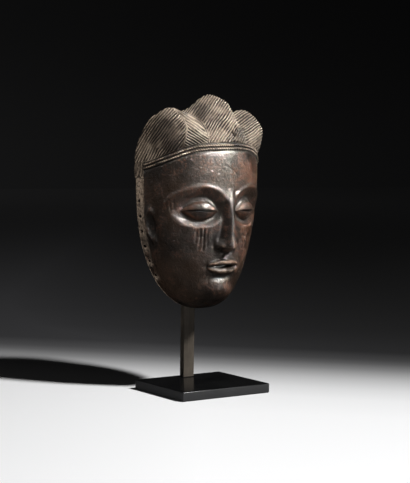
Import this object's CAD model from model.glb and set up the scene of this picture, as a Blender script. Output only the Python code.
"""Carved wooden face mask of the Chokwe mwana pwo type on a bent steel bar and base plate.

The blank of the mask is worked out in millimetres from named sizes, then carved: hair lines,
headband cords, cheek marks, eye slits and lashing holes. The bar and plate are softened copies
of the solid pieces."""

import math

import bmesh
import bpy
import numpy as np
from bpy.props import FloatProperty, FloatVectorProperty, IntProperty, PointerProperty
from mathutils import Matrix, Vector


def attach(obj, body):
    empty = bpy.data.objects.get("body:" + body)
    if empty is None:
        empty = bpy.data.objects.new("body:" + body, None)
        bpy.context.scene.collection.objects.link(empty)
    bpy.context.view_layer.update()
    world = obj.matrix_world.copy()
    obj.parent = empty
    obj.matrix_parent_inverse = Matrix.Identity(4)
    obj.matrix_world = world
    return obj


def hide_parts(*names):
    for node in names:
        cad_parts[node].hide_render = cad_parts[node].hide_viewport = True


bl_info = {
    "name": "Mwana pwo mask on its stand",
    "version": (1, 0, 0),
    "blender": (4, 5, 0),
    "location": "3D View > Sidebar > Mask",
    "description": "Carves the mask and finishes its bar, plate and studio",
    "category": "Object",
}

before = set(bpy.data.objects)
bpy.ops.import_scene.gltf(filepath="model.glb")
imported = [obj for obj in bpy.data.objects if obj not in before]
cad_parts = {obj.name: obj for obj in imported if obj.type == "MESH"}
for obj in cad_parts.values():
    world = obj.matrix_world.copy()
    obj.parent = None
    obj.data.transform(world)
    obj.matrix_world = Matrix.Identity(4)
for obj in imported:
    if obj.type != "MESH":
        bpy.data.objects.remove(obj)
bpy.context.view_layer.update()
MM = 0.001


# Sizes of the blank, in millimetres, the same as in the solid model.

RIM_BOTTOM = 85.0
TEMPLE = 230.0
SKULL_TOP = 288.0
RIM_PLANE = 28.0
HALF_WIDTH = 68.0
DEPTH = 73.0
FACE_HEIGHT = 145.0
CHIN_CUT = 15.5
CHIN_CUT_START = 60.0
JAW, CHEEK, SKULL = 2.3, 2.35, 2.4
CROWN_WALL, CHIN_WALL, SIDE_WALL, FRONT_WALL = 17.0, 11.0, 7.0, 12.0

HAIRLINE = 248.5
BAND_DROP = 22.5
BAND_HEIGHT = 6.8
BAND_PROUD = 1.5
VALLEY = 22.5
SIDE_CREST = 48.5
LOBE_END = 67.5
HAIR_STEP = 7.0
CENTRE_STOPS = ((0, 1), (26, 20.5), (40, 22), (54, 12), (66, 5), (74, 3))
SIDE_STOPS = ((0, 5), (33, 20), (54, 21), (67, 10), (74, 2))
VALLEY_STOPS = ((0, 0), (21, 1), (56, 3), (74, 3))

CHIN_HEIGHT = 97.0
FACE_SPAN = HAIRLINE - CHIN_HEIGHT
EYE_SIDE = 29.0
EYE_HEIGHT = HAIRLINE - 0.4 * FACE_SPAN
NOSE_BASE = HAIRLINE - 0.66 * FACE_SPAN
MOUTH_HEIGHT = HAIRLINE - 0.77 * FACE_SPAN
EYE_LENGTH, EYE_RISE, EYE_PROUD = 17.5, 10.0, 6.5
SOCKET_LENGTH, SOCKET_RISE, SOCKET_FALL, SOCKET_DEPTH = 25.0, 22.0, 17.0, 6.0
NOSE_PROUD, BRIDGE_PROUD, BRIDGE_WIDTH, NOSE_WIDTH = 16.0, 3.5, 7.0, 12.0
NOSE_TIP_PROUD, WING_PROUD, NOSTRIL_DEPTH = 1.5, 4.4, 3.4
LIP_LENGTH, LIP_HEIGHT, LIP_PROUD, MOUTH_LENGTH, MOUTH_GAP = 18.0, 6.0, 4.5, 13.0, 3.2
MUZZLE_PROUD, CHIN_PROUD = 3.0, 9.0
SLIT_HEIGHT = 1.7
LID_LENGTH, LID_RISE, LID_CALM = 15.0, 7.5, 0.8
FACE_MIDDLE = 180.0

EAR_RISE, EAR_HALF, EAR_INSET, EAR_PROUD = 18.0, 6.5, 23.0, 3.0
STRIP_WIDTH, STRIP_DEPTH = 14.0, 1.4
STRIP_HAIR_END = 220.0
HOLE_RADIUS, HOLE_INSET, HOLE_PITCH, HOLE_COUNT = 1.6, 6.0, 15.5, 6

# Fineness of the blank: columns of the face, of which the hair has twice as many, and rows.
COLUMNS, FACE_ROWS, BAND_ROWS, HAIR_ROWS = 200, 156, 14, 118
INNER_COLUMNS, INNER_ROWS = 48, 58

# Rings of vertices across the rim, as shares of the way from the outside to the hollow, and how
# far the outermost rings, the outer edge and the hollow's edge are rounded over. The rim's wear is
# a share of the outer edge's.
RIM_RINGS = (0.06, 0.2, 0.8, 0.94)
RING_ROUNDING, OUTER_ROUNDING, INNER_ROUNDING = 0.25, 0.9, 0.7
RIM_WEAR = 0.3

# Tool marks in the hollow: how deep the adze cut, and how wide its cuts are.
HEWN_DEPTH, HEWN_WIDTH = 0.9, 11.0

# The coarse and the fine tool marks all over the outside: height, width and seed.
TOOL_MARKS = ((0.2, 9.0, 4), (0.09, 3.2, 5))

# Cords of the headband: the grooves beside the twin cords, and the short third cord over them.
CORD_GROOVE, THIRD_CORD_PROUD, THIRD_CORD_OVER = 0.7, 1.5, 1.7

# Tear marks under each eye: how far to the side, how far under the eye, length and depth of each
# line, and how far under the eye the two ends of each short line across them are.
TEAR_LINES = ((21.0, 17.5, 21.0, 0.6), (24.4, 16.0, 26.0, 0.9), (28.0, 16.5, 24.0, 0.8),
              (31.4, 17.5, 17.0, 0.55))
TEAR_BARS = ((24.0, 27.5), (31.0, 34.5), (37.0, 40.0))

# Scratches on the forehead, from x, z to x, z, with depth and width, and its pits: x, z, depth.
FOREHEAD_SCRATCHES = ((-9.5, 234.5, 6.5, 226.0, 0.55, 0.5), (1.5, 242.0, -3.0, 234.5, 0.4, 0.45),
                      (6.0, 226.0, 11.0, 233.0, 0.35, 0.4), (-2.0, 231.0, -8.0, 226.5, 0.3, 0.4),
                      (14.0, 238.0, 22.0, 231.0, 0.3, 0.4), (-20.0, 240.0, -15.0, 231.0, 0.2, 0.4))
FOREHEAD_PITS = ((26.0, 235.0, 0.8), (6.0, 225.0, 0.6))

# Short upright cuts before each ear: how far from the rim, how high, and their pitch.
TEMPLE_INSET, TEMPLE_HEIGHT, TEMPLE_PITCH = 43.0, 193.0, 3.2

# Pits in the hair: x, z, radius and depth. Then the two strokes of the V-shaped chip at the foot
# of the middle lobe, from x, z to x, z.
HAIR_PITS = ((17.8, 284.0, 1.3, 1.3), (13.5, 277.0, 1.2, 1.2), (10.5, 265.0, 1.6, 1.4),
             (7.5, 267.5, 1.4, 1.2), (13.5, 267.0, 1.3, 1.0), (-12.0, 283.0, 2.0, 0.7),
             (-4.0, 273.0, 2.4, 0.6), (31.0, 262.0, 1.5, 0.7))
CHIP_CUTS = ((3.0, 263.5, 7.5, 260.0), (7.5, 260.0, 8.5, 266.0))
CHIP_DEPTH, CHIP_WIDTH = 2.6, 0.95

# The hair lines, dust and soil are laid out across and up a plane that faces the front left.
# Across it runs along this direction.
ACROSS_X, ACROSS_Y = 0.816, 0.578

# Hair lines run straight on the middle lobe, the right lobe's front and the left flank, at these
# slants in degrees, and in rings round one place on the outer lobes.
MIDDLE_SLANT, RIGHT_SLANT, FLANK_SLANT = 57.0, 37.0, -33.0
RING_ACROSS, RING_UP = 99.0, 160.0
FLANK_END = SIDE_CREST - 2.5

# Patches of dust and soil on the hair: across, up, their two radii and how strong each is.
DUST = ((-12.0, 276.0, 8.0, 9.0, 0.9), (-1.0, 299.0, 7.0, 4.0, 0.8), (12.0, 263.0, 11.0, 8.0, 0.95),
        (26.0, 277.0, 4.0, 13.0, 0.5), (50.0, 262.0, 7.0, 9.0, 0.75), (-62.0, 246.0, 9.0, 14.0, 0.5),
        (-44.0, 285.0, 12.0, 6.0, 0.6), (18.0, 253.0, 12.0, 3.0, 0.7))
SOIL = ((-5.0, 283.0, 8.0, 9.0, 0.9), (-40.0, 262.0, 18.0, 18.0, 0.75), (-36.0, 252.0, 13.0, 10.0, 1.0),
        (-22.0, 258.0, 5.0, 10.0, 0.8), (36.0, 262.0, 6.0, 10.0, 0.9), (-12.0, 254.0, 12.0, 6.0, 0.6),
        (57.0, 255.0, 5.0, 12.0, 0.8))


def smooth(low, high, value):
    share = np.clip((value - low) / (high - low), 0.0, 1.0)
    return share * share * (3.0 - 2.0 * share)


def bell(value):
    return np.exp(-np.square(value))


def lerp(start, end, share):
    return start + (end - start) * share


def window(start, full, fading, end, value):
    """1 from full to fading, and 0 before start and after end."""
    return smooth(start, full, value) * (1.0 - smooth(fading, end, value))


def through(stops, place):
    """Smooth curve through a few (place, height) stops."""
    height = np.full_like(place, stops[0][1], dtype=float)
    for (low, start), (high, end) in zip(stops, stops[1:]):
        height = np.where(place > low, lerp(start, end, smooth(low, high, place)), height)
    return height


def rounded(share, fullness):
    return np.maximum(0.0, 1.0 - np.abs(share) ** fullness) ** (1.0 / fullness)


def lattice_noise(points, size, seed):
    """Smooth noise from -1 to 1 whose bumps are about size millimetres wide."""
    table = np.random.default_rng(seed).random((32, 32, 32)) * 2.0 - 1.0
    place = points / size
    cell = np.floor(place).astype(int)
    part = place - cell
    part = part * part * (3.0 - 2.0 * part)
    total = np.zeros(points.shape[:-1])
    for corner in range(8):
        step = np.array([corner & 1, corner >> 1 & 1, corner >> 2])
        x, y, z = np.moveaxis((cell + step) % 32, -1, 0)
        weight = np.prod(np.where(step, part, 1.0 - part), axis=-1)
        total += table[x, y, z] * weight
    return total


def rim_y(z):
    below = np.maximum(0.0, TEMPLE - CHIN_CUT_START - z)
    return RIM_PLANE - CHIN_CUT * (below / (FACE_HEIGHT - CHIN_CUT_START)) ** 2


def band_edge(x):
    return HAIRLINE - BAND_DROP * np.abs(x / HALF_WIDTH) ** 3


def points_of(place):
    return np.stack([place["x"], place["y"], place["z"]], axis=-1)


def from_rim(place):
    """How far each place stands before the rim."""
    return rim_y(place["z"]) - place["y"]


def over_band(place):
    """How far each place is over the headband's lower edge."""
    return place["z"] - band_edge(place["x"])


def disc_place(across, up):
    """A square grid place laid over a disc, so that no vertices crowd at a pole."""
    x = across * np.sqrt(1.0 - up * up / 2.0)
    z = up * np.sqrt(1.0 - across * across / 2.0)
    spread = 1.2 - 0.2 * np.hypot(x, z) ** 5
    return x * spread, z * spread


def shell_place(across, up, top, bottom, half_width, depth):
    """Places on a plain egg-shaped half shell, with how far to the side and front each looks."""
    disc_x, disc_z = disc_place(across, up)
    z = (top + bottom) / 2.0 + disc_z * (top - bottom) / 2.0
    half = np.sqrt(np.maximum(1e-12, 1.0 - disc_z * disc_z))
    side = np.clip(disc_x / half, -1.0, 1.0)
    above = z > TEMPLE
    share = np.where(above, (z - TEMPLE) / (top - TEMPLE), (TEMPLE - z) / (TEMPLE - bottom))
    share = np.clip(share, 0.0, 1.0)
    width = half_width * np.where(above, rounded(share, SKULL), rounded(share, CHEEK))
    deep = depth * np.where(above, rounded(share, SKULL), rounded(share, JAW))
    front = np.sqrt(np.maximum(0.0, 1.0 - side * side))
    return {"x": side * width, "y": rim_y(z) - deep * front, "z": z,
            "side": side, "front": front, "width": width, "depth": deep}


def outer_place(across, up):
    return shell_place(across, up, SKULL_TOP, RIM_BOTTOM, HALF_WIDTH, DEPTH)


def band_row(across, over):
    """How far up the grid each column meets the height over the headband's lower edge."""
    low, high = np.full_like(across, -1.0), np.full_like(across, 1.0)
    for _ in range(40):
        middle = (low + high) / 2.0
        place = outer_place(across, middle)
        under = place["z"] < band_edge(place["x"]) + over
        low, high = np.where(under, middle, low), np.where(under, high, middle)
    return (low + high) / 2.0


def lobe_share(reach, frontness):
    """Section across the lobes of hair: 1 on a crest, 0 in a valley."""
    fullness = lerp(1.4, 0.5, frontness)

    def wave(share):
        return np.where(share < 1.0, 0.5 + 0.5 * np.cos(np.pi * np.clip(share, 0.0, 1.0)), 0.0)

    middle = wave(reach / VALLEY) ** fullness
    outer = wave((reach - SIDE_CREST) / (LOBE_END - SIDE_CREST)) ** fullness
    share = np.clip((SIDE_CREST - reach) / (SIDE_CREST - VALLEY), 0.0, 1.0)
    flank = lerp(wave(share) ** 1.4, lerp(wave(share), 1.0 - share, 0.6), frontness)
    return np.where(reach < VALLEY, middle, np.where(reach > SIDE_CREST, outer, flank))


def hair_height(place):
    over = over_band(place) - BAND_HEIGHT
    angle = np.degrees(np.arctan2(RIM_PLANE - place["y"], place["z"] - TEMPLE))
    reach = np.abs(place["x"])
    crest = lerp(through(CENTRE_STOPS, angle), through(SIDE_STOPS, angle),
                 smooth(0.4 * VALLEY, 0.75 * SIDE_CREST, reach))
    floor = lerp(through(VALLEY_STOPS, angle), 0.0, smooth(SIDE_CREST, 0.93 * LOBE_END, reach))
    share = np.clip(over / HAIR_STEP, 0.0, 1.0)
    step = lerp(smooth(0.0, 1.0, share), 1.0 - (1.0 - share) ** 2.2, 0.6)
    return lerp(floor, crest, lobe_share(reach, smooth(0.0, 50.0, angle))) * step


def cord_relief(place):
    """Two cords side by side round the hairline, and a short third one over them in front."""
    base = points_of(place)
    over = over_band(place) + 0.45 * lattice_noise(base, 8.0, 61)
    share = over / BAND_HEIGHT
    half = np.abs(np.sin(2.0 * np.pi * np.clip(share, 0.0, 1.0)))
    proud = BAND_PROUD * (1.0 + 0.3 * lattice_noise(base, 6.0, 62))
    twin = np.where((share > 0.0) & (share < 1.0), proud * (-0.6 + 1.6 * half ** 0.7), 0.0)
    twin = twin - CORD_GROOVE * bell((over + 0.9) / 0.7)
    twin = twin - CORD_GROOVE * bell((over - BAND_HEIGHT - 0.5) / 0.6)
    twin = twin * smooth(STRIP_WIDTH - 1.0, STRIP_WIDTH + 1.5, from_rim(place))
    third = THIRD_CORD_PROUD * bell((over - BAND_HEIGHT - THIRD_CORD_OVER) / 0.95)
    return twin + third * (1.0 - smooth(9.0, 15.0, np.abs(place["x"] - 2.0)))


def eye_relief(side, z):
    across, up = side - EYE_SIDE, z - EYE_HEIGHT
    socket = np.hypot(across / SOCKET_LENGTH, up / np.where(up > 0.0, SOCKET_RISE, SOCKET_FALL))
    hollow = -SOCKET_DEPTH * (1.0 - smooth(0.55, 1.05, socket))
    brow = 1.1 * bell((socket - 1.1) / 0.08) * smooth(2.0, 10.0, up)
    taper = np.maximum(0.0, 1.0 - (across / EYE_LENGTH) ** 2)
    lid = np.abs(up) / np.maximum(0.4, EYE_RISE * taper)
    ball = EYE_PROUD * np.sqrt(taper) * np.sqrt(np.maximum(0.0, 1.0 - lid * lid))
    upper = 0.7 * taper * smooth(0.0, 1.2, up) * (1.0 - smooth(0.75, 1.0, lid))
    edge = 0.9 * bell((lid - 1.12) / 0.12) * smooth(0.02, 0.25, taper)
    return hollow + brow + ball + upper + edge


def nose_relief(side, z):
    bridge = EYE_HEIGHT + SOCKET_RISE * 0.6
    down = np.clip((bridge - z) / (bridge - NOSE_BASE), 0.0, 1.0)
    half = lerp(BRIDGE_WIDTH, NOSE_WIDTH, down * down)
    across = np.clip(side / half, 0.0, 1.0)
    under = NOSE_BASE - 0.5 + 0.035 * side * side
    ends = window(under - 4.0, under + 3.5, bridge - 4.0, bridge + 12.0, z)
    ridge = lerp(BRIDGE_PROUD, NOSE_PROUD - 2.0, down) * np.cos(across * np.pi / 2.0) ** 1.7 * ends
    tip = NOSE_TIP_PROUD * bell(side / 5.6) * bell((z - NOSE_BASE - 5.5) / 5.0)
    wing = WING_PROUD * bell((side - 9.2) / 3.3) * bell((z - NOSE_BASE - 4.6) / 4.2)
    wing -= 1.0 * bell((side - 14.4) / 1.5) * bell((z - NOSE_BASE - 5.0) / 5.0)
    nostril = -NOSTRIL_DEPTH * bell((side - 5.2) / 2.3) * bell((z - NOSE_BASE + 1.2) / 1.9)
    return ridge + tip + wing + nostril


def mouth_relief(side, z):
    across = np.clip(side / LIP_LENGTH, 0.0, 1.0)
    up = z - MOUTH_HEIGHT
    mound = MUZZLE_PROUD * bell(side / 20.0) * bell(up / 15.0)
    taper = np.sqrt(1.0 - across * across)
    bow = 1.0 - 0.16 * bell(side / 2.6) * (up > 0.0) + 0.08 * bell((side - 6.5) / 3.0)
    tall = np.maximum(0.3, LIP_HEIGHT * taper * bow * np.where(up > 0.0, 0.95, 1.08))
    lip = np.clip((np.abs(up) - MOUTH_GAP / 2.0 * taper) / tall, 0.0, 1.0)
    lips = LIP_PROUD * taper * np.sin(np.pi * lip) ** 0.6
    crease = -1.3 * bell((up + LIP_HEIGHT + 5.5) / 3.0) * bell(side / 13.0)
    groove = -0.9 * bell(side / 2.0) * window(LIP_HEIGHT, LIP_HEIGHT + 3.0, 13.0, 16.0, up)
    corner = -1.2 * bell((side - LIP_LENGTH) / 2.2) * bell(up / 2.6)
    return mound + lips + crease + groove + corner


def chin_relief(side, z):
    return CHIN_PROUD * bell(side / 18.0) * bell((z - CHIN_HEIGHT - 8.0) / 13.0)


def cheek_marks(x, z):
    """Tear marks under each eye: four upright lines, cut by hand and of uneven length."""
    side = np.abs(x)
    drift = 0.55 * lattice_noise(np.stack([x, np.zeros_like(x), z], axis=-1), 7.0, 71)
    cut = np.zeros_like(x)
    for middle, under, length, depth in TEAR_LINES:
        down = EYE_HEIGHT - under - z
        groove = bell((side + drift - middle) / 0.75)
        raised = 0.35 * bell((side + drift - middle - 1.7) / 0.7)
        cut += depth * window(0.0, 2.5, length - 4.0, length, down) * (raised - groove)
    for low, high in TEAR_BARS:
        slant = EYE_HEIGHT - z - lerp(low, high, (side - 20.0) / 12.0)
        cut -= 0.45 * bell(slant / 0.6) * window(20.5, 22.5, 29.5, 31.5, side)
    return cut


def stroke(x, z, x0, z0, x1, z1):
    """Length of a straight cut, and how far along it and beside it each place is."""
    run = math.hypot(x1 - x0, z1 - z0)
    along = ((x - x0) * (x1 - x0) + (z - z0) * (z1 - z0)) / run
    beside = ((x - x0) * (z1 - z0) - (z - z0) * (x1 - x0)) / run
    return run, along, beside


def forehead_wear(x, z):
    """Thin scratches and two pits on the forehead."""
    cut = np.zeros_like(x)
    for px, pz, depth in FOREHEAD_PITS:
        cut -= depth * bell(np.hypot(x - px, z - pz))
    drift = 0.5 * lattice_noise(np.stack([x, np.zeros_like(x), z], axis=-1), 5.0, 81)
    for *ends, depth, width in FOREHEAD_SCRATCHES:
        run, along, beside = stroke(x, z, *ends)
        cut -= depth * bell((beside + drift) / width) * window(0.0, 2.0, run - 2.0, run, along)
    return cut


def temple_marks(inset, z):
    """Short upright cuts before the ear."""
    across, up = inset - TEMPLE_INSET, z - TEMPLE_HEIGHT
    inside = window(-5.5, -4.5, 4.5, 5.5, across) * window(-7.0, -5.0, 5.0, 7.0, up)
    return -0.6 * inside * (0.5 + 0.5 * np.cos(2.0 * np.pi * across / TEMPLE_PITCH)) ** 2


def side_relief(place):
    """C-shaped ear, the sunk strip behind it, the hair on its top and the crack before it."""
    z, inset = place["z"], from_rim(place)
    on_strip = 1.0 - smooth(STRIP_WIDTH - 0.8, STRIP_WIDTH + 0.5, inset)
    ragged = z + 1.4 * lattice_noise(points_of(place), 4.0, 65)
    strip = -STRIP_DEPTH * on_strip * (1.0 - smooth(STRIP_HAIR_END - 1.2, STRIP_HAIR_END + 0.6, ragged))
    ear_height = (EYE_HEIGHT + NOSE_BASE) / 2.0 + 4.0
    across, up = (inset - EAR_INSET) / EAR_HALF, (z - ear_height) / EAR_RISE
    curl = bell((np.hypot(across, up) - 0.8) / 0.22) * (1.0 - smooth(0.2, 0.9, across))
    hollow = 0.9 * bell((across - 0.25) / 0.45) * bell(up / 0.62)
    crack = -1.3 * bell((inset - STRIP_WIDTH - 1.4) / 0.9) * window(184.0, 192.0, 238.0, 246.0, z)
    return strip + EAR_PROUD * (curl - hollow) + crack * (1.0 - 0.6 * bell((z - 223.0) / 4.0))


def face_relief(place):
    x, side, z = place["x"], np.abs(place["x"]), place["z"]
    frontal = eye_relief(side, z) + nose_relief(side, z) + mouth_relief(side, z) + chin_relief(side, z)
    from_band = smooth(0.0, 12.0, -over_band(place))
    carved = frontal * from_band * smooth(0.2, 0.5, place["front"])
    marks = cheek_marks(x, z) + forehead_wear(x, z) + temple_marks(from_rim(place), z)
    return carved + marks + side_relief(place)


def chips(x, z, front):
    """Pits in the hair, and a V-shaped chip at the foot of the middle lobe."""
    dent = np.zeros_like(x)
    for px, pz, radius, depth in HAIR_PITS:
        dent -= depth * bell(np.hypot(x - px, z - pz) / radius)
    for ends in CHIP_CUTS:
        run, along, beside = stroke(x, z, *ends)
        dent -= CHIP_DEPTH * bell(beside / CHIP_WIDTH) * window(-0.5, 0.8, run - 0.8, run + 0.5, along)
    return dent * (front > 0.3)


def carve(place):
    """Outer surface with its relief, as an array of places."""
    base = points_of(place)
    relief = cord_relief(place)
    relief = relief + np.where(over_band(place) < 0.0, face_relief(place), side_relief(place) * 0.6)
    relief = relief + chips(place["x"], place["z"], place["front"])
    for height, width, seed in TOOL_MARKS:
        relief = relief + height * lattice_noise(base, width, seed)
    tilt_x = place["side"] / np.maximum(1e-6, place["width"])
    tilt_y = -place["front"] / np.maximum(1e-6, place["depth"])
    tilt = np.maximum(1e-9, np.hypot(tilt_x, tilt_y))
    out = np.stack([tilt_x / tilt, tilt_y / tilt, np.zeros_like(tilt)], axis=-1)
    lift = hair_height(place)
    back, up = place["y"] - RIM_PLANE, place["z"] - TEMPLE
    spin = np.maximum(1e-6, np.hypot(back, up))
    rise = np.stack([np.zeros_like(spin), back / spin, up / spin], axis=-1)
    return base + relief[..., None] * out + lift[..., None] * rise


def blur(values, taps):
    """Gaussian blur along both ways of a grid, over about taps squares."""
    reach = np.arange(-2 * taps, 2 * taps + 1)
    weights = np.exp(-0.5 * (reach / taps) ** 2)
    weights /= weights.sum()
    for axis in (0, 1):
        pad = [(0, 0)] * values.ndim
        pad[axis] = (2 * taps, 2 * taps)
        wide = np.pad(values, pad, mode="edge")
        size = values.shape[axis]
        values = sum(weight * np.take(wide, range(start, start + size), axis=axis)
                     for start, weight in enumerate(weights))
    return values


def grid_normals(points):
    down = np.gradient(points, axis=0)
    along = np.gradient(points, axis=1)
    normal = np.cross(along, down)
    return normal / np.maximum(1e-9, np.linalg.norm(normal, axis=-1, keepdims=True))


def patches(points, spots):
    """Soft patches laid out across and up, the same on the far side of the mask."""
    x, y, z = np.moveaxis(points, -1, 0)
    across = ACROSS_X * x - ACROSS_Y * y
    total = np.zeros_like(x)
    ragged = 0.35 * lattice_noise(points, 6.0, 91) + 0.2 * lattice_noise(points, 2.5, 92)
    for middle, up, wide, tall, strength in spots:
        away = np.hypot((across - middle) / wide, (z - up) / tall)
        total = np.maximum(total, strength * (1.0 - smooth(0.55, 1.25, away + ragged)))
    return total


def slanted(across, up, slant):
    """Distance across straight lines that climb at a slant in degrees."""
    slant = math.radians(slant)
    return math.cos(slant) * up - math.sin(slant) * across


def strand_field(points, place):
    """Where each carved hair line runs: a distance across the lines, and how deep they are cut."""
    x, y, z = np.moveaxis(points, -1, 0)
    reach, on_left = np.abs(place["x"]), place["x"] < 0.0
    across, mirrored = ACROSS_X * x - ACROSS_Y * y, -ACROSS_X * x - ACROSS_Y * y
    left_rings = np.hypot(across - RING_ACROSS, z - RING_UP)
    right_rings = np.hypot(mirrored - RING_ACROSS, z - RING_UP)
    left = np.where(reach > FLANK_END, left_rings, slanted(across, z, FLANK_SLANT))
    right = np.where(reach > SIDE_CREST + 6.0, right_rings, slanted(across, z, RIGHT_SLANT))
    run = np.where(reach < VALLEY, slanted(across, z, MIDDLE_SLANT), np.where(on_left, left, right))
    over, inset = over_band(place) - BAND_HEIGHT, from_rim(place)
    on_strip = (inset < STRIP_WIDTH + 0.6) & (over < 1.5)
    run = np.where(on_strip, inset * 1.05, run)
    share = smooth(0.3, 1.6, over) * (1.0 - bell((reach - VALLEY) / 0.9))
    on_flank = (reach < FLANK_END) & (reach > VALLEY) & on_left
    share = np.where(on_flank, share * lerp(0.95, 0.72, smooth(4.0, 18.0, over)), share)
    share = share * (1.0 - 0.8 * bell(place["x"] + FLANK_END))
    strip_share = smooth(STRIP_HAIR_END - 0.5, STRIP_HAIR_END + 1.0, z) * (1.0 - smooth(12.6, 14.0, inset))
    share = np.where(on_strip, strip_share, share)
    run = run + 0.75 * lattice_noise(points, 12.0, 11) + 0.22 * lattice_noise(points, 3.5, 12)
    worn = smooth(-0.7, 0.1, lattice_noise(points, 7.0, 13))
    soiled = patches(points, SOIL)
    return run, share * lerp(0.5, 1.0, worn) * (1.0 - 0.1 * np.clip(soiled, 0.0, 1.0))


def squares_of_grid(numbers, flip=False):
    """Faces of a grid of numbered vertices."""
    corners = [numbers[:-1, :-1], numbers[:-1, 1:], numbers[1:, 1:], numbers[1:, :-1]]
    if flip:
        corners.reverse()
    return np.stack([corner.ravel() for corner in corners], axis=1).tolist()


def edge_loop(numbers):
    return np.concatenate([numbers[0, :-1], numbers[:-1, -1], numbers[-1, :0:-1], numbers[:0:-1, 0]])


def around(points):
    """Each place's turn round the middle of the face, growing along the loop."""
    return np.unwrap(np.arctan2(points[:, 2] - FACE_MIDDLE, points[:, 0]))


def stitch(first, first_turn, second, second_turn):
    """Triangles between two closed loops of vertices, each with its turn round the middle."""
    faces, i, j = [], 0, 0
    n, m = len(first), len(second)
    whole = 2.0 * math.pi
    turn_a = np.append(first_turn, first_turn[0] + whole)
    turn_b = np.append(second_turn, second_turn[0] + whole)
    while i < n or j < m:
        if j >= m or (i < n and turn_a[i + 1] <= turn_b[j + 1]):
            faces.append((first[i], second[j % m], first[(i + 1) % n]))
            i += 1
        else:
            faces.append((first[i % n], second[j], second[(j + 1) % m]))
            j += 1
    return faces


def hole_places():
    """Where the lashing holes are, in metres, and the direction that each is drilled in."""
    places, directions = [], []
    for side in (-1.0, 1.0):
        z = EYE_HEIGHT + HOLE_PITCH / 2.0
        for _ in range(HOLE_COUNT):
            share = (TEMPLE - z) / FACE_HEIGHT
            width = HALF_WIDTH * float(rounded(np.array(share), CHEEK))
            slope = HALF_WIDTH / FACE_HEIGHT * (share * HALF_WIDTH / width) ** (CHEEK - 1.0)
            places.append((side * width * MM, (float(rim_y(np.array(z))) - HOLE_INSET) * MM, z * MM))
            directions.append((math.cos(math.atan(slope)), 0.0, -side * math.sin(math.atan(slope))))
            z -= HOLE_PITCH / math.hypot(1.0, slope)
    return places, directions


def on_lids(x, z):
    """How far each place is on one of the eyelids, which stay calm and dark."""
    return LID_CALM * bell(np.hypot((np.abs(x) - EYE_SIDE) / LID_LENGTH, (z - EYE_HEIGHT) / LID_RISE))


def bulge(points, normal, taps):
    """How far each place stands out of the surface round it."""
    return np.einsum("ijk,ijk->ij", points - blur(points, taps), normal)


def warm_places(vertices):
    """Where the wood is worn to a warm red-brown: round the eyes, cheeks, nose, mouth and chin."""
    x, y, z = vertices.T
    side = np.abs(x)
    warm = 0.75 * bell((side - EYE_SIDE) / 24.0) * bell((z - EYE_HEIGHT) / 20.0)
    warm += 0.55 * bell((x - 26.0) / 20.0) * bell((z - 150.0) / 28.0)
    warm += 0.5 * bell(x / 16.0) * bell((z - CHIN_HEIGHT - 12.0) / 14.0)
    warm += 0.7 * bell((x - 30.0) / 20.0) * bell((z - 228.0) / 18.0)
    warm += 0.45 * bell((z - 226.0) / 16.0) * bell(x / 40.0)
    warm += 0.3 * bell(side / 9.0) * bell((z - NOSE_BASE - 15.0) / 25.0)
    warm *= (y < 5.0) * (1.0 - on_lids(x, z))
    return np.clip(warm + 0.25 * lattice_noise(vertices, 14.0, 51), 0.0, 1.0)


def knocked_places(points):
    """Where the rim is knocked beside each lashing hole."""
    knocks = np.zeros(points.shape[:-1])
    for x, y, z in hole_places()[0]:
        away = np.hypot(points[..., 1] - y / MM, points[..., 2] - z / MM + 1.5)
        near = np.sign(points[..., 0]) == np.sign(x)
        knocks = np.maximum(knocks, near * bell(away / 3.2))
    return knocks


def outer_surface():
    """Carved outside as a grid of points, and the plain shell's place under each."""
    across = np.linspace(-1.0, 1.0, 2 * COLUMNS + 1)
    band_low, band_high = band_row(across, 0.0), band_row(across, BAND_HEIGHT)
    rows = [lerp(-1.0, band_low, row / FACE_ROWS) for row in range(FACE_ROWS)]
    rows += [lerp(band_low, band_high, row / BAND_ROWS) for row in range(BAND_ROWS)]
    rows += [lerp(band_high, 1.0, (row / HAIR_ROWS) ** 1.12) for row in range(HAIR_ROWS + 1)]
    up = np.stack(rows)
    place = outer_place(np.broadcast_to(across, up.shape), up)
    return carve(place), place


def carving_fields(points, place):
    """Attributes of the outside: lines to cut, ridges, worn rim, knocks, dust and soil."""
    normal = grid_normals(points)
    convex = bulge(points, normal, 2)
    convex = convex * (1.0 - on_lids(points[..., 0], points[..., 2]) * (points[..., 1] < 0.0))
    run, share = strand_field(points, place)
    over, inset = over_band(place), from_rim(place)
    step = np.linalg.norm(np.diff(points[FACE_ROWS + BAND_ROWS // 2], axis=0), axis=1)
    arc = np.concatenate([[0.0], np.cumsum(step)])
    notch = np.broadcast_to(arc, over.shape) + 0.35 * over + 0.3 * lattice_noise(points, 6.0, 21)
    notch_share = window(-0.2, 0.5, BAND_HEIGHT - 0.5, BAND_HEIGHT + 0.2, over)
    notch_share = notch_share * smooth(STRIP_WIDTH, STRIP_WIDTH + 2.0, inset)
    strip = (1.0 - smooth(STRIP_WIDTH - 1.0, STRIP_WIDTH + 1.0, inset)) * smooth(120.0, 235.0, place["z"])
    return {"strand": run, "strand_share": share, "notch": notch, "notch_share": notch_share,
            "convex": convex, "broad": bulge(points, normal, 10), "rim": 1.0 - smooth(0.0, 3.6, inset),
            "strip": strip, "knock": knocked_places(points),
            "dust": patches(points, DUST), "soil": patches(points, SOIL)}


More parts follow.
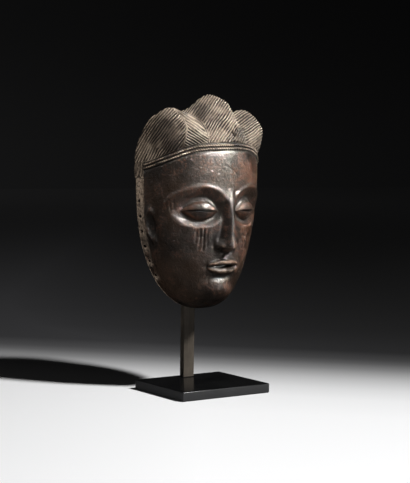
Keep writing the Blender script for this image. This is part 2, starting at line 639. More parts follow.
def outer_faces(shape):
    """Which grid points the outside uses, its faces and the loop of vertices round its edge."""
    use = np.ones(shape, dtype=bool)
    use[:FACE_ROWS, 1::2] = False
    numbers = np.full(shape, -1)
    numbers[use] = np.arange(use.sum())
    faces = squares_of_grid(numbers[:FACE_ROWS, ::2])
    last, first = numbers[FACE_ROWS - 1, ::2], numbers[FACE_ROWS]
    for column in range(COLUMNS):
        a, b = last[column], last[column + 1]
        d, m, c = first[2 * column], first[2 * column + 1], first[2 * column + 2]
        faces += [(a, m, d), (a, b, m), (b, c, m)]
    faces += squares_of_grid(numbers[FACE_ROWS:])
    bottom, right, top, left = numbers[0, ::2], numbers[:, -1], numbers[-1], numbers[:, 0]
    return use, faces, np.concatenate([bottom[:-1], right[:-1], top[:0:-1], left[:0:-1]])


def hewn_hollow(first):
    """Hollow with its tool marks: vertices, faces and edge loop, numbered from first."""
    across, up = np.meshgrid(np.linspace(-1.0, 1.0, INNER_COLUMNS + 1),
                             np.linspace(-1.0, 1.0, INNER_ROWS + 1))
    plain = shell_place(across, up, SKULL_TOP - CROWN_WALL, RIM_BOTTOM + CHIN_WALL,
                        HALF_WIDTH - SIDE_WALL, DEPTH - FRONT_WALL)
    inner = points_of(plain)
    hewn = np.minimum(HEWN_DEPTH, np.abs(lattice_noise(inner, HEWN_WIDTH, 31)) * 1.6)
    inner = inner + grid_normals(inner) * (hewn * plain["front"])[..., None]
    numbers = first + np.arange(across.size).reshape(across.shape)
    return inner.reshape(-1, 3), squares_of_grid(numbers, flip=True), edge_loop(numbers)


def rim_rings(outer, outer_turn, inner, inner_turn):
    """Rings of places across the rim, from the outer edge to the hollow's."""
    turns = np.concatenate([inner_turn - 2 * math.pi, inner_turn, inner_turn + 2 * math.pi])
    target = np.stack([np.interp(outer_turn, turns, np.tile(values, 3)) for values in inner.T], axis=1)
    rings = []
    for share in RIM_RINGS:
        ring = lerp(outer, target, share)
        ring[:, 1] = rim_y(ring[:, 2])
        if share in (RIM_RINGS[0], RIM_RINGS[-1]):
            ring[:, 1] -= RING_ROUNDING
        ring[:, 1] += 0.12 * lattice_noise(ring, 5.0, 41)
        rings.append(ring)
    return rings


def blank_of_mask():
    """Vertices, faces and carving attributes of the hollow carved shell, in millimetres."""
    points, place = outer_surface()
    fields = carving_fields(points, place)
    use, faces, outer_loop = outer_faces(points.shape[:2])
    outside = points[use]
    inside, inner_faces, inner_loop = hewn_hollow(len(outside))
    faces += inner_faces
    outer_edge, inner_edge = outside[outer_loop], inside[inner_loop - len(outside)]
    outer_turn, inner_turn = around(outer_edge), around(inner_edge)
    rings = rim_rings(outer_edge, outer_turn, inner_edge, inner_turn)
    outside[outer_loop, 1] -= OUTER_ROUNDING
    inside[inner_loop - len(outside), 1] -= INNER_ROUNDING
    previous, first = outer_loop, len(outside) + len(inside)
    for ring in rings:
        numbers = first + np.arange(len(ring))
        corners = [previous, numbers, np.roll(numbers, -1), np.roll(previous, -1)]
        faces += np.stack(corners, axis=1).tolist()
        previous, first = numbers, first + len(ring)
    faces += stitch(previous, outer_turn, inner_loop, inner_turn)

    on_rim = sum(len(ring) for ring in rings)
    worn_rim = np.concatenate([np.zeros(len(inside)), np.full(on_rim, RIM_WEAR)])
    for name, values in fields.items():
        filler = worn_rim if name == "rim" else np.zeros(len(worn_rim))
        fields[name] = np.concatenate([values[use], filler])
    fields["inside"] = np.concatenate([np.zeros(len(outside)), np.ones(len(inside)), np.full(on_rim, 0.5)])
    return np.concatenate([outside, inside] + rings), faces, fields


class Wire:
    """One value in a node tree. Sums on it add Math nodes."""

    def __init__(self, maker, socket):
        self.maker, self.socket = maker, socket

    def __add__(self, other):
        return self.maker.maths("ADD", self, other)

    def __radd__(self, other):
        return self.maker.maths("ADD", other, self)

    def __sub__(self, other):
        return self.maker.maths("SUBTRACT", self, other)

    def __rsub__(self, other):
        return self.maker.maths("SUBTRACT", other, self)

    def __mul__(self, other):
        return self.maker.maths("MULTIPLY", self, other)

    def __rmul__(self, other):
        return self.maker.maths("MULTIPLY", other, self)

    def __truediv__(self, other):
        return self.maker.maths("DIVIDE", self, other)

    def __rtruediv__(self, other):
        return self.maker.maths("DIVIDE", other, self)

    def clamped(self, low=0.0, high=1.0):
        return self.maker.node("ShaderNodeClamp", {}, {"Value": self, "Min": low, "Max": high})

    def wave(self, pitch):
        """1 on each line, pitch apart, and 0 halfway between."""
        return self.maker.maths("COSINE", self * (2.0 * math.pi / pitch)) * 0.5 + 0.5

    def between(self, low, high):
        """Smooth step from 0 at low to 1 at high."""
        settings = {"interpolation_type": "SMOOTHSTEP"}
        return self.maker.node("ShaderNodeMapRange", settings,
                               {"Value": self, "From Min": low, "From Max": high})


class Maker:
    """Adds nodes to one tree. Settings come first, then the values or links of the sockets."""

    def __init__(self, tree):
        self.tree = tree

    def node(self, kind, settings=None, inputs=None, output=0):
        made = self.tree.nodes.new(kind)
        for name, value in (settings or {}).items():
            if name == "stops":
                ramp = made.color_ramp
                while len(ramp.elements) < len(value):
                    ramp.elements.new(0.5)
                for stop, (place, colour) in zip(ramp.elements, value):
                    stop.position, stop.color = place, (*colour, 1.0)
            else:
                setattr(made, name, value)
        for name, value in (inputs or {}).items():
            if isinstance(name, int):
                socket = made.inputs[name]
            else:
                socket = next(s for s in made.inputs if s.name == name and s.enabled)
            if isinstance(value, Wire):
                self.tree.links.new(value.socket, socket)
            else:
                socket.default_value = value
        if not made.outputs:
            return made
        if isinstance(output, str):
            return Wire(self, next(s for s in made.outputs if s.name == output and s.enabled))
        return Wire(self, made.outputs[output])

    def maths(self, operation, *values):
        return self.node("ShaderNodeMath", {"operation": operation}, dict(enumerate(values)))

    def mix(self, share, start, end):
        """Colour between start and end."""
        values = {"Factor": share}
        for name, colour in (("A", start), ("B", end)):
            values[name] = colour if isinstance(colour, Wire) else (*colour[:3], 1.0)
        return self.node("ShaderNodeMix", {"data_type": "RGBA", "clamp_factor": True}, values, "Result")

    def layers(self, colour, *layers):
        """Colours laid over each other, each with the share that it covers."""
        for share, over in layers:
            colour = self.mix(share, colour, over)
        return colour

    def noise(self, place, scale, detail=3.0, roughness=0.5, distortion=0.0):
        return self.node("ShaderNodeTexNoise", {"noise_dimensions": "3D"},
                         {"Vector": place, "Scale": scale, "Detail": detail,
                          "Roughness": roughness, "Distortion": distortion})

    def stretched(self, place, scale, turn=(0.0, 0.0, 0.0)):
        return self.node("ShaderNodeMapping", {}, {"Vector": place, "Rotation": turn, "Scale": scale})

    def attribute(self, name):
        return self.node("ShaderNodeAttribute", {"attribute_name": name}, output="Fac")

    def place(self):
        return self.node("ShaderNodeTexCoord", output="Object")

    def along(self, place, direction):
        """How far a place lies in a direction."""
        return self.node("ShaderNodeVectorMath", {"operation": "DOT_PRODUCT"},
                         {0: place, 1: direction}, "Value")


# The studio stands turned to the object. Its back wall lies this way, and its right side that way.
STUDIO_TURN = math.radians(35.3)
BACK = (math.sin(STUDIO_TURN), math.cos(STUDIO_TURN), 0.0)
RIGHT = (math.cos(STUDIO_TURN), -math.sin(STUDIO_TURN), 0.0)
UP = (0.0, 0.0, 1.0)
BLACK = (0.0, 0.0, 0.0)


def new_material(name):
    material = bpy.data.materials.new(name)
    material.use_nodes = True
    material.node_tree.nodes.clear()
    return material, Maker(material.node_tree)


def finish_material(maker, values, height, distance):
    """Principled shader with a bump of the given height, in metres at full value."""
    normal = maker.node("ShaderNodeBump", {}, {"Strength": 1.0, "Distance": distance, "Height": height})
    shader = maker.node("ShaderNodeBsdfPrincipled", {}, {**values, "Normal": normal})
    maker.node("ShaderNodeOutputMaterial", {}, {"Surface": shader})


def wood_material(colours, carving):
    """Dark polished patina, worn red-brown where hands reach, dusty over the cut hair."""
    material, make = new_material("Patinated wood")
    place = make.place()
    cloud = make.noise(place, 16.0, 4.0, 0.55)
    mottle = make.noise(place, 85.0, 4.0, 0.6)
    speck = make.noise(place, 420.0, 3.0, 0.6)
    fleck = make.noise(place, 900.0, 2.0, 0.6)
    grain = make.noise(make.stretched(place, (1.0, 1.0, 0.09)), 520.0, 3.0, 0.6, 0.4)
    scuff = make.noise(make.stretched(place, (0.25, 0.6, 1.0), (0.0, 0.6, 0.3)), 700.0, 2.0, 0.5)
    run, hair, notch, cords, convex, broad, inside, rim, warm, strip, knock, dust, soil = map(
        make.attribute, ("strand", "strand_share", "notch", "notch_share", "convex", "broad",
                         "inside", "rim", "warm", "strip", "knock", "dust", "soil"))
    sunk = convex * -1.0
    on_hair = hair.between(0.02, 0.35)

    groove = 1.0 - (run.wave(carving.strand_pitch / MM) + speck * 0.8 - 0.4).between(0.4, 1.0)
    hair_groove = (groove * hair.between(0.1, 0.75)).clamped()
    nick = 1.0 - notch.wave(carving.notch_pitch / MM).between(0.02, 0.45)
    cord_nick = (nick * cords).clamped()
    dirt = (hair_groove * (1.0 - dust * 0.35) * 0.97 + cord_nick * 0.6
            + sunk.between(0.05, 0.36) * 0.85 + cords * sunk.between(-0.1, 0.2) * 0.95).clamped()

    worn = (warm * 1.3 + convex.between(0.02, 0.5) * 0.3 + mottle.between(0.42, 0.6) * 0.75
            + fleck.between(0.42, 0.66) * 0.4 + speck.between(0.42, 0.62) * 0.6 - 1.12).clamped()
    specks = fleck.between(0.54, 0.66) * 0.6 + speck.between(0.56, 0.7) * 0.35
    edges = convex.between(0.4, 1.05) * mottle.between(0.36, 0.62)
    bare = (convex.between(0.6, 1.3) * speck.between(0.4, 0.65) * 0.4
            + rim.between(0.32, 0.8) * speck.between(0.3, 0.6) * 0.6
            + knock * speck.between(0.3, 0.6) * mottle.between(0.35, 0.55) * 0.8)
    face = make.layers(make.mix(cloud.between(0.35, 0.68), colours.patina_dark, colours.patina_brown),
                       (grain.between(0.48, 0.78) * 0.4, colours.patina_brown),
                       (worn * (speck.between(0.36, 0.58) * 0.6 + 0.36), colours.worn_red),
                       (specks, colours.dirt),
                       (edges * 0.55, colours.worn_tan),
                       (bare, colours.worn_edge))
    ridge = make.layers(make.mix(mottle.between(0.3, 0.66), colours.hair_brown, colours.hair_dusty),
                        (speck.between(0.5, 0.68) * 0.6, colours.soiled),
                        (broad.between(0.0, 1.6) * speck.between(0.2, 0.7) * 0.4, colours.worn_edge))
    bare_cords = cords * convex.between(0.1, 0.5) * speck.between(0.3, 0.58) * mottle.between(0.34, 0.56)
    carved = make.layers(make.mix(on_hair, face, ridge),
                         (cords * mottle.between(0.3, 0.62) * 0.7, colours.hair_brown),
                         (bare_cords, colours.worn_edge),
                         (strip * mottle.between(0.36, 0.6) * 0.85, colours.hair_brown),
                         (strip * speck.between(0.35, 0.62) * 0.85, colours.worn_edge),
                         (dust * speck.between(0.25, 0.55) * 0.85, colours.worn_edge),
                         (soil * mottle.between(0.15, 0.45) * 0.88, colours.soiled),
                         (dirt, colours.dirt))
    raw = make.mix(grain.between(0.35, 0.7), colours.inside_dark, colours.inside_brown)

    shine = 0.25 + mottle.between(0.35, 0.65) * 0.12 + fleck.between(0.35, 0.65) * 0.16 + worn * 0.15
    rough = (shine + on_hair * 0.26 + edges * 0.3 + dirt * on_hair * 0.3 + dirt * 0.15
             + inside * 0.4 + strip * 0.2)
    height = (grain * 0.4 + mottle * 0.35 + speck + fleck * 0.75 + scuff.between(0.6, 0.75) * -0.25
              - hair_groove * 1.1 - cord_nick * 0.8 + inside * cloud * 1.5)
    values = {"Base Color": make.mix(inside, carved, raw), "Roughness": rough.clamped(), "IOR": 1.45,
              "Specular IOR Level": 0.36, "Specular Tint": (1.0, 0.93, 0.86, 1.0)}
    finish_material(make, values, height, 0.0004)
    return material


def steel_material(name, dark, light, rough, metallic, brushed=0.25, streak=(1.0, 1.0, 0.03),
                   satin_sides=False):
    """Dark steel with brush marks that run one way, and duller sides where it is asked for."""
    material, make = new_material(name)
    place = make.place()
    brush = make.noise(make.stretched(place, streak), 1800.0, 2.0, 0.6)
    cloud = make.noise(place, 22.0, 4.0, 0.6)
    spot = make.noise(place, 260.0, 3.0, 0.6)
    tone = (cloud * 0.7 + brush * 0.3).between(0.32, 0.68)
    if satin_sides:
        side = 1.0 - make.along(make.node("ShaderNodeNewGeometry", output="Normal"), UP).between(0.2, 0.8)
        tone = tone * 0.12 + side * 0.7
        rough = rough + side * 0.22
    rough = rough + (cloud - 0.5) * 0.18 + (brush - 0.5) * 0.12 + spot.between(0.6, 0.75) * 0.08
    values = {"Base Color": make.mix(tone, dark, light), "Roughness": rough.clamped(),
              "Metallic": metallic, "IOR": 1.5}
    finish_material(make, values, brush * brushed + spot * 0.1, 0.00006)
    return material


# How pale the floor is round the plate, and how it fades into the dark, by metres behind the origin.
FLOOR_NEAR = ((-0.4, 1.0), (-0.1, 1.0), (-0.006, 0.94), (0.056, 0.8), (0.121, 0.56), (0.194, 0.23),
              (0.24, 0.09), (0.273, 0.038), (0.34, 0.0))
FLOOR_FAR = ((0.0, 0.9), (0.3, 0.8), (0.43, 0.54), (0.51, 0.42), (0.72, 0.33), (1.03, 0.28),
             (2.0, 0.22), (5.5, 0.0))
FLOOR_REACH = 6.0


def floor_fade(make, distance, stops):
    """How pale the floor is at a distance, through a few (distance, pale) stops."""
    low, high = stops[0][0], stops[-1][0]
    shades = tuple(((place - low) / (high - low), (pale, pale, pale)) for place, pale in stops)
    ramp = make.node("ShaderNodeValToRGB", {"stops": shades}, {"Fac": (distance - low) / (high - low)})
    return make.node("ShaderNodeSeparateColor", {}, {"Color": ramp})


def side_fade(make, right, strength, most):
    """Share of light: 1 in the middle, more on the left and less on the right."""
    return make.maths("EXPONENT", (right * -strength).clamped(-most, most))


def glow(make, strength, colour):
    """Colour of a dim light at a strength from 0 to 2."""
    return make.mix(strength * 0.5, BLACK, tuple(2.0 * part for part in colour))


def floor_material(colours):
    """Pale studio floor that falls away into the dark behind the object."""
    material, make = new_material("Studio floor")
    place = make.place()
    behind, right = make.along(place, BACK), make.along(place, RIGHT)
    distant = floor_fade(make, behind, FLOOR_FAR) * side_fade(make, right, 3.7, 1.2)
    near = floor_fade(make, behind + right * 0.2, FLOOR_NEAR) * side_fade(make, right, 0.62, 0.15)
    away = make.node("ShaderNodeVectorMath", {"operation": "LENGTH"}, {0: place}, "Value")
    far_glow = glow(make, away.between(1.0, 5.8) * side_fade(make, right, 0.33, 0.35), colours.backdrop)
    colour = make.layers(make.mix(distant, BLACK, colours.floor_far), (near, colours.floor))
    values = {"Base Color": colour, "Roughness": 0.55, "Emission Color": far_glow, "Emission Strength": 1.0}
    shader = make.node("ShaderNodeBsdfPrincipled", {}, values)
    make.node("ShaderNodeOutputMaterial", {}, {"Surface": shader})
    return material


def start_tree(name, sizes):
    """Geometry tree that takes a mesh, some sizes and a material, with a wire for each of them."""
    tree = bpy.data.node_groups.new(name, "GeometryNodeTree")
    tree.interface.new_socket("Geometry", in_out="INPUT", socket_type="NodeSocketGeometry")
    for size, default in sizes:
        socket = tree.interface.new_socket(size, in_out="INPUT", socket_type="NodeSocketFloat")
        socket.default_value = default
    tree.interface.new_socket("Material", in_out="INPUT", socket_type="NodeSocketMaterial")
    tree.interface.new_socket("Geometry", in_out="OUTPUT", socket_type="NodeSocketGeometry")
    make = Maker(tree)
    given = tree.nodes.new("NodeGroupInput")
    return make, {socket.name: Wire(make, socket) for socket in given.outputs if socket.name}


def end_tree(make, geometry, material):
    """Realizes the geometry, gives it the material and hands it out of the tree."""
    real = make.node("GeometryNodeRealizeInstances", {}, {"Geometry": geometry})
    finished = make.node("GeometryNodeSetMaterial", {}, {"Geometry": real, "Material": material})
    out = make.tree.nodes.new("NodeGroupOutput")
    make.tree.links.new(finished.socket, out.inputs[0])
    return make.tree


def named(make, name, kind="FLOAT"):
    """Attribute of the mesh that a geometry tree works on."""
    return make.node("GeometryNodeInputNamedAttribute", {"data_type": kind}, {"Name": name}, "Attribute")


def carving_tree():
    """Geometry nodes that press the hair lines and headband notches into the surface."""
    make, value = start_tree("Cut carved lines", (("Strand pitch", 2.5), ("Strand depth", 0.00078),
                                                  ("Notch pitch", 2.4), ("Notch depth", 0.0003)))

    def lines(run, pitch):
        return make.maths("COSINE", named(make, run) / pitch * (2.0 * math.pi)) * -0.5 + 0.5

    strands = lines("strand", value["Strand pitch"]) * named(make, "strand_share") * value["Strand depth"]
    notches = lines("notch", value["Notch pitch"]) * named(make, "notch_share") * value["Notch depth"]
    normal = make.node("GeometryNodeInputNormal", output="Normal")
    offset = make.node("ShaderNodeVectorMath", {"operation": "SCALE"},
                       {"Vector": normal, "Scale": (strands + notches) * -1.0}, "Vector")
    cut = make.node("GeometryNodeSetPosition", {}, {"Geometry": value["Geometry"], "Offset": offset})
    return end_tree(make, cut, value["Material"])


def hole_tree():
    """Geometry nodes that stand a round cutter on each lashing place, along its own direction."""
    make, value = start_tree("Lashing hole cutters", (("Radius", 0.0016), ("Length", 0.028)))
    drill = make.node("GeometryNodeMeshCylinder", {"fill_type": "NGON"},
                      {"Vertices": 20, "Radius": value["Radius"], "Depth": value["Length"]}, "Mesh")
    turn = make.node("FunctionNodeAlignEulerToVector", {"axis": "Z"},
                     {"Vector": named(make, "along", "FLOAT_VECTOR")})
    placed = make.node("GeometryNodeInstanceOnPoints", {},
                       {"Points": value["Geometry"], "Instance": drill, "Rotation": turn})
    return end_tree(make, placed, value["Material"])


def add_object(name, mesh):
    made = bpy.data.objects.new(name, mesh)
    bpy.context.scene.collection.objects.link(made)
    return made


def plain_mesh(made):
    """Turns an object with modifiers into one with a plain mesh."""
    graph = bpy.context.evaluated_depsgraph_get()
    mesh = bpy.data.meshes.new_from_object(made.evaluated_get(graph), preserve_all_data_layers=True,
                                           depsgraph=graph)
    made.modifiers.clear()
    old, made.data = made.data, mesh
    bpy.data.meshes.remove(old)
    mesh.name = made.name
    return made


def run_nodes(made, tree, values):
    """Puts a node tree on an object, sets its inputs by identifier and keeps the result."""
    modifier = made.modifiers.new(tree.name, "NODES")
    modifier.node_group = tree
    for item in tree.interface.items_tree:
        if item.item_type == "SOCKET" and item.in_out == "INPUT" and item.name in values:
            modifier[item.identifier] = values[item.name]
    return plain_mesh(made)


def lens_mesh(bm, x, z, half_length, height):
    """Lens-shaped cutter that runs back through the front wall, in millimetres."""
    steps = 24
    back, front = RIM_PLANE - (DEPTH - FRONT_WALL) / 2.0, RIM_PLANE - DEPTH * 1.6
    places = [-1.0 + 2.0 * index / steps for index in range(steps + 1)]
    outline = [(half_length * p, -height / 2.0 * (1.0 - p * p)) for p in places]
    outline += [(half_length * p, height / 2.0 * (1.0 - p * p)) for p in reversed(places[1:-1])]
    rings = []
    for y in (front, back):
        rings.append([bm.verts.new(((x + px) * MM, y * MM, (z + pz) * MM)) for px, pz in outline])
    bm.faces.new(rings[0])
    bm.faces.new(rings[1][::-1])
    count = len(outline)
    for index in range(count):
        following = (index + 1) % count
        bm.faces.new((rings[0][following], rings[0][index], rings[1][index], rings[1][following]))


def subtract(made, cutter):
    """Cuts one object out of another, and takes the cutter away."""
    modifier = made.modifiers.new("Cut", "BOOLEAN")
    modifier.operation = "DIFFERENCE"
    modifier.solver = "MANIFOLD"
    modifier.object = cutter
    plain_mesh(made)
    old = cutter.data
    bpy.data.objects.remove(cutter)
    bpy.data.meshes.remove(old)


def lens_cutters(material):
    """One object that cuts the two eye slits and the gap between the lips."""
    bm = bmesh.new()
    lens_mesh(bm, EYE_SIDE, EYE_HEIGHT, EYE_LENGTH - 2.0, SLIT_HEIGHT)
    lens_mesh(bm, -EYE_SIDE, EYE_HEIGHT, EYE_LENGTH - 2.0, SLIT_HEIGHT)
    lens_mesh(bm, 0.0, MOUTH_HEIGHT, MOUTH_LENGTH, MOUTH_GAP)
    bmesh.ops.recalc_face_normals(bm, faces=bm.faces)
    mesh = bpy.data.meshes.new("lens_cutters")
    bm.to_mesh(mesh)
    bm.free()
    mesh.materials.append(material)
    return add_object("lens_cutters", mesh)


def hole_cutters(radius, material):
    """One object that drills the lashing holes."""
    places, directions = hole_places()
    mesh = bpy.data.meshes.new("hole_cutters")
    mesh.from_pydata(places, [], [])
    layer = mesh.attributes.new("along", "FLOAT_VECTOR", "POINT")
    layer.data.foreach_set("vector", np.array(directions, dtype=np.float32).ravel())
    return run_nodes(add_object("hole_cutters", mesh), hole_tree(),
                     {"Radius": radius, "Length": 4.0 * SIDE_WALL * MM, "Material": material})


def smooth_edges(mesh, angle):
    """Smooth shading, with edges sharper than the angle in degrees left sharp."""
    mesh.shade_smooth()
    mesh.set_sharp_from_angle(angle=math.radians(angle))


def softened_copy(node, name, width, segments):
    """A copy of a solid piece with its edges rounded."""
    bm = bmesh.new()
    bm.from_mesh(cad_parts[node].data)
    bmesh.ops.remove_doubles(bm, verts=bm.verts, dist=1e-6)
    bmesh.ops.dissolve_limit(bm, angle_limit=math.radians(0.5), verts=bm.verts, edges=bm.edges)
    sharp = math.radians(25)
    edges = [edge for edge in bm.edges if len(edge.link_faces) == 2 and edge.calc_face_angle() > sharp]
    bmesh.ops.bevel(bm, geom=edges, offset=width, segments=segments, profile=0.5, affect="EDGES",
                    clamp_overlap=True)
    bmesh.ops.triangulate(bm, faces=[face for face in bm.faces if len(face.verts) > 4])
    mesh = bpy.data.meshes.new(name)
    bm.to_mesh(mesh)
    bm.free()
    smooth_edges(mesh, 40)
    return add_object(name, mesh)


def colour_property(name, description, default):
    return FloatVectorProperty(name=name, description=description, default=default,
                               subtype="COLOR", min=0.0, max=1.0)


def length_property(name, description, default, least, most, precision=4):
    return FloatProperty(name=name, description=description, default=default, min=least, max=most,
                         unit="LENGTH", precision=precision)


def power_property(name, description, default, most=500.0):
    return FloatProperty(name=name, description=description, default=default, min=0.0, max=most,
                         unit="POWER")


class MaskCarving(bpy.types.PropertyGroup):
    strand_pitch: length_property("Hair line pitch", "Distance from one carved hair line to the next",
                                  0.0025, 0.0008, 0.006)
    strand_depth: length_property("Hair line depth", "How deep the hair lines are cut",
                                  0.00078, 0.0, 0.002, 5)
    notch_pitch: length_property("Cord notch pitch", "Distance between the notches on the cords",
                                 0.0024, 0.001, 0.01)
    notch_depth: length_property("Cord notch depth", "How deep the notches on the cords are cut",
                                 0.0003, 0.0, 0.002, 5)
    hole_radius: length_property("Lashing hole radius", "Radius of the holes round the rim",
                                 HOLE_RADIUS * MM, 0.0005, 0.004)


class WoodColours(bpy.types.PropertyGroup):
    patina_dark: colour_property("Dark patina", "Polished wood at its darkest", (0.0075, 0.0056, 0.0046))
    patina_brown: colour_property("Brown patina", "Polished wood at its lightest", (0.028, 0.0155, 0.009))
    worn_red: colour_property("Worn red-brown", "Wood worn by handling", (0.1, 0.034, 0.0135))
    worn_tan: colour_property("Worn ridges", "Wood rubbed to a red tan on ridges", (0.16, 0.078, 0.042))
    worn_edge: colour_property("Worn edges", "Wood worn bare on its edges", (0.42, 0.32, 0.235))
    hair_dusty: colour_property("Dusty hair", "Dust on the ridges of the hair", (0.48, 0.38, 0.285))
    hair_brown: colour_property("Brown hair", "Wood on the ridges of the hair", (0.1, 0.066, 0.042))
    dirt: colour_property("Dirt", "Dirt in the cuts", (0.009, 0.0065, 0.005))
    soiled: colour_property("Soiled hair", "Dark brown dirt over the hair", (0.04, 0.024, 0.014))
    inside_dark: colour_property("Dark inside", "Wood inside at its darkest", (0.03, 0.02, 0.013))
    inside_brown: colour_property("Brown inside", "Wood inside at its lightest", (0.1, 0.066, 0.042))


class StandColours(bpy.types.PropertyGroup):
    bar_dark: colour_property("Dark bar", "Bronzed bar at its darkest", (0.05, 0.041, 0.032))
    bar_light: colour_property("Light bar", "Bronzed bar at its lightest", (0.15, 0.126, 0.1))
    plate_dark: colour_property("Dark plate", "Blackened plate at its darkest", (0.004, 0.004, 0.0042))
    plate_light: colour_property("Light plate", "Blackened plate at its lightest", (0.048, 0.048, 0.049))
    edge_round: length_property("Edge rounding", "Radius of the softened steel edges", 0.0003, 0.0001, 0.002)
    edge_steps: IntProperty(name="Edge steps", description="Faces round each softened edge",
                            default=3, min=1, max=6)


class StudioSettings(bpy.types.PropertyGroup):
    floor: colour_property("Floor", "Floor round the object", (0.88, 0.88, 0.885))
    floor_far: colour_property("Far floor", "Floor where it falls into the dark", (0.035, 0.035, 0.037))
    room: colour_property("Room", "Light from the front of the room", (0.016, 0.016, 0.0163))
    backdrop: colour_property("Backdrop", "Dark behind the object", (0.0045, 0.0045, 0.0046))
    key_power: power_property("Key light", "Power of the large light on the right", 82.0)
    glint_power: power_property("Glint light", "Power of the shine on the forehead", 150.0, 900.0)
    brow_power: power_property("Brow light", "Power of the narrow beam on the forehead", 1.35, 50.0)
    plate_power: power_property("Plate light", "Power of the light on the plate's left edge", 2.6, 50.0)
    front_power: power_property("Front light", "Power of the small soft light in front", 5.5)
    fill_power: power_property("Fill light", "Power of the soft light on the left", 0.5)
    top_power: power_property("Top light", "Power of the light over the object", 2.4)
    back_power: power_property("Back light", "Power of the soft light behind the object", 1.8)


class MWANAPWO_OT_mask(bpy.types.Operator):
    """Carve the mask: blank, hair lines, headband, eye slits, mouth and lashing holes"""

    bl_idname = "mwana_pwo.mask"
    bl_label = "Carve the mask"

    def execute(self, context):
        carving = context.scene.mask_carving
        wood = wood_material(context.scene.mask_wood, carving)
        vertices, faces, fields = blank_of_mask()
        fields["warm"] = warm_places(vertices)
        mesh = bpy.data.meshes.new("carved_mask")
        mesh.from_pydata((vertices * MM).tolist(), [], faces)
        for name, values in fields.items():
            layer = mesh.attributes.new(name, "FLOAT", "POINT")
            layer.data.foreach_set("value", values.astype(np.float32))
        mesh.validate()
        mask = add_object("carved_mask", mesh)
        run_nodes(mask, carving_tree(), {
            "Strand pitch": carving.strand_pitch / MM, "Strand depth": carving.strand_depth,
            "Notch pitch": carving.notch_pitch / MM, "Notch depth": carving.notch_depth, "Material": wood})
        bm = bmesh.new()
        bm.from_mesh(mask.data)
        bmesh.ops.triangulate(bm, faces=bm.faces)
        bm.to_mesh(mask.data)
        bm.free()
        subtract(mask, lens_cutters(wood))
        subtract(mask, hole_cutters(carving.hole_radius, wood))
        mask.data.materials.clear()
        mask.data.materials.append(wood)
        mask.data.polygons.foreach_set("material_index", np.zeros(len(mask.data.polygons), dtype=np.int32))
        smooth_edges(mask.data, 50)
        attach(mask, "root")
        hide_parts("mask")
        return {"FINISHED"}


class MWANAPWO_OT_stand(bpy.types.Operator):
    """Soften and finish the bent bar and the base plate"""

    bl_idname = "mwana_pwo.stand"
    bl_label = "Finish the stand"

    def execute(self, context):
        colours = context.scene.mask_stand
        bar = steel_material("Bronzed steel", colours.bar_dark, colours.bar_light, rough=0.36, metallic=0.35)
        plate = steel_material("Blackened steel", colours.plate_dark, colours.plate_light, rough=0.16,
                               metallic=0.2, brushed=0.15, streak=(1.0, 0.05, 1.0), satin_sides=True)
        for node, name, slot, material in (("stand_post", "bent_bar", "bar_steel", bar),
                                           ("stand_base", "base_plate", "plate_steel", plate)):
            piece = softened_copy(node, name, colours.edge_round, colours.edge_steps)
            piece.data.materials.append(material)
            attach(piece, "root")
            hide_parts(node)
        return {"FINISHED"}


def studio_world(studio):
    """Dark behind the object, and a soft grey all round the front of the room."""
    world = bpy.data.worlds.new("Studio")
    world.use_nodes = True
    world.node_tree.nodes.clear()
    make = Maker(world.node_tree)
    towards = make.node("ShaderNodeTexCoord", output="Generated")
    strength = 1.1 - make.along(towards, UP).between(-0.04, 0.11) * 0.5
    strength = strength * side_fade(make, make.along(towards, RIGHT), 2.2, 0.35)
    facing = make.along(towards, BACK).between(-0.55, 0.35)
    colour = make.mix(facing, studio.room, glow(make, strength, studio.backdrop))
    light = make.node("ShaderNodeBackground", {}, {"Color": colour})
    make.node("ShaderNodeOutputWorld", {}, {"Surface": light})
    return world


# Each light: where it hangs, what it aims at, its size across and up, and the setting of its power.
LIGHTS = (
    ("Key", (0.66, -1.46, 1.7), (0.0, -0.02, 0.18), (0.2, 0.2), "key_power"),
    ("Front", (-0.09, -1.2, 0.37), (0.0, 0.0, 0.2), (0.22, 0.3), "front_power"),
    ("Fill", (-1.1, -0.5, 0.5), (0.0, 0.0, 0.2), (0.8, 0.9), "fill_power"),
    ("Top", (-0.7, -0.05, 0.95), (0.0, 0.0, 0.24), (0.4, 0.4), "top_power"),
    ("Glint", (0.58, -1.66, 1.5), (0.0, -0.02, 0.22), (0.3, 0.24), "glint_power"),
    ("Brow", (0.58, -1.66, 1.4), (0.0, -0.04, 0.247), (0.2, 0.2), "brow_power"),
    ("Plate edge", (-1.1, -0.4, 0.35), (0.0, 0.0, 0.0), (0.5, 0.5), "plate_power"),
    ("Back", (0.7, 1.0, 0.8), (0.0, 0.0, 0.2), (0.8, 0.8), "back_power"),
    ("Back left", (-0.9, 0.9, 0.6), (0.0, 0.0, 0.2), (0.8, 0.8), "back_power"),
)
GLOSS_LIGHTS = ("Glint", "Brow", "Front")
BROW_SPREAD = math.radians(8.0)

# The pieces that some of the lights keep to, and those lights.
LIT_ALONE = ((("carved_mask",), ("Glint", "Brow", "Front", "Top", "Back", "Back left")),
             (("base_plate",), ("Plate edge",)),
             (("carved_mask", "base_plate"), ("Fill",)))

# The camera looks at the back of the studio from here, a little down and a little tilted.
CAMERA_PLACE = (-0.8266, -1.1687, 0.2501)
CAMERA_PITCH, CAMERA_ROLL = math.radians(3.82), math.radians(0.88)
FOCAL_PIXELS, PICTURE_HEIGHT, SENSOR_HEIGHT = 1400.0, 483.0, 36.0


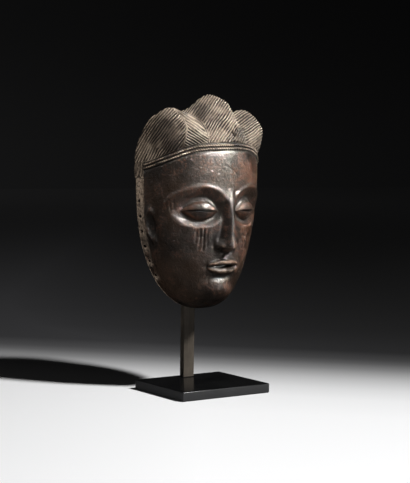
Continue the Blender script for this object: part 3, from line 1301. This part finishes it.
def add_light(name, place, aim, size, power):
    light = bpy.data.lights.new(name, "AREA")
    light.shape = "RECTANGLE"
    light.size, light.size_y = size
    light.energy = power
    made = add_object(name, light)
    made.location = place
    made.visible_camera = False
    made.visible_diffuse = name not in GLOSS_LIGHTS
    made.rotation_euler = (Vector(aim) - Vector(place)).to_track_quat("-Z", "Y").to_euler()
    return made


def add_camera():
    """Camera at the place and the angle of the photograph."""
    back, right, rise = Vector(BACK), Vector(RIGHT), Vector(UP)
    look = back * math.cos(CAMERA_PITCH) - rise * math.sin(CAMERA_PITCH)
    up = rise * math.cos(CAMERA_PITCH) + back * math.sin(CAMERA_PITCH)
    turned_right = right * math.cos(CAMERA_ROLL) + up * math.sin(CAMERA_ROLL)
    turned_up = up * math.cos(CAMERA_ROLL) - right * math.sin(CAMERA_ROLL)
    camera = bpy.data.cameras.new("Camera")
    camera.sensor_width = SENSOR_HEIGHT
    camera.lens = FOCAL_PIXELS / PICTURE_HEIGHT * SENSOR_HEIGHT
    made = add_object("Camera", camera)
    made.matrix_world = Matrix.Translation(CAMERA_PLACE) @ Matrix(
        (turned_right, turned_up, -look)).transposed().to_4x4()
    return made


class MWANAPWO_OT_studio(bpy.types.Operator):
    """Add the floor, the soft lights and the camera"""

    bl_idname = "mwana_pwo.studio"
    bl_label = "Set the studio"

    def execute(self, context):
        scene = context.scene
        studio = scene.mask_studio
        reach = FLOOR_REACH
        mesh = bpy.data.meshes.new("floor")
        mesh.from_pydata([(-reach, -reach, 0), (reach, -reach, 0), (reach, reach, 0), (-reach, reach, 0)],
                         [], [(0, 1, 2, 3)])
        mesh.materials.append(floor_material(studio))
        floor = add_object("floor", mesh)
        floor.visible_glossy = False
        scene.world = studio_world(studio)
        scene.view_settings.view_transform = "Standard"
        lights = {name: add_light(name, place, aim, size, getattr(studio, power))
                  for name, place, aim, size, power in LIGHTS}
        lights["Brow"].data.spread = BROW_SPREAD
        for pieces, alone in LIT_ALONE:
            lit = bpy.data.collections.new("Lit alone")
            for piece in pieces:
                lit.objects.link(scene.objects[piece])
            for name in alone:
                lights[name].light_linking.receiver_collection = lit
        scene.camera = add_camera()
        return {"FINISHED"}


# The settings that the panel lists, and the operator that each group belongs to.
PANEL_ROWS = (("mask_carving", "mwana_pwo.mask"), ("mask_wood", None),
              ("mask_stand", "mwana_pwo.stand"), ("mask_studio", "mwana_pwo.studio"))


class MWANAPWO_PT_panel(bpy.types.Panel):
    bl_idname = "MWANAPWO_PT_panel"
    bl_label = "Mask on its stand"
    bl_space_type = "VIEW_3D"
    bl_region_type = "UI"
    bl_category = "Mask"

    def draw(self, context):
        layout = self.layout
        for group, operator in PANEL_ROWS:
            settings = getattr(context.scene, group)
            box = layout.box()
            for name in settings.__annotations__:
                box.prop(settings, name)
            if operator:
                box.operator(operator)


GROUPS = {"mask_carving": MaskCarving, "mask_wood": WoodColours,
          "mask_stand": StandColours, "mask_studio": StudioSettings}
CLASSES = (MaskCarving, WoodColours, StandColours, StudioSettings,
           MWANAPWO_OT_mask, MWANAPWO_OT_stand, MWANAPWO_OT_studio, MWANAPWO_PT_panel)


def register():
    for each in CLASSES:
        bpy.utils.register_class(each)
    for name, group in GROUPS.items():
        setattr(bpy.types.Scene, name, PointerProperty(type=group))


def unregister():
    for name in GROUPS:
        delattr(bpy.types.Scene, name)
    for each in reversed(CLASSES):
        bpy.utils.unregister_class(each)


def main():
    register()
    bpy.ops.mwana_pwo.mask()
    bpy.ops.mwana_pwo.stand()
    bpy.ops.mwana_pwo.studio()


if __name__ == "__main__":
    main()
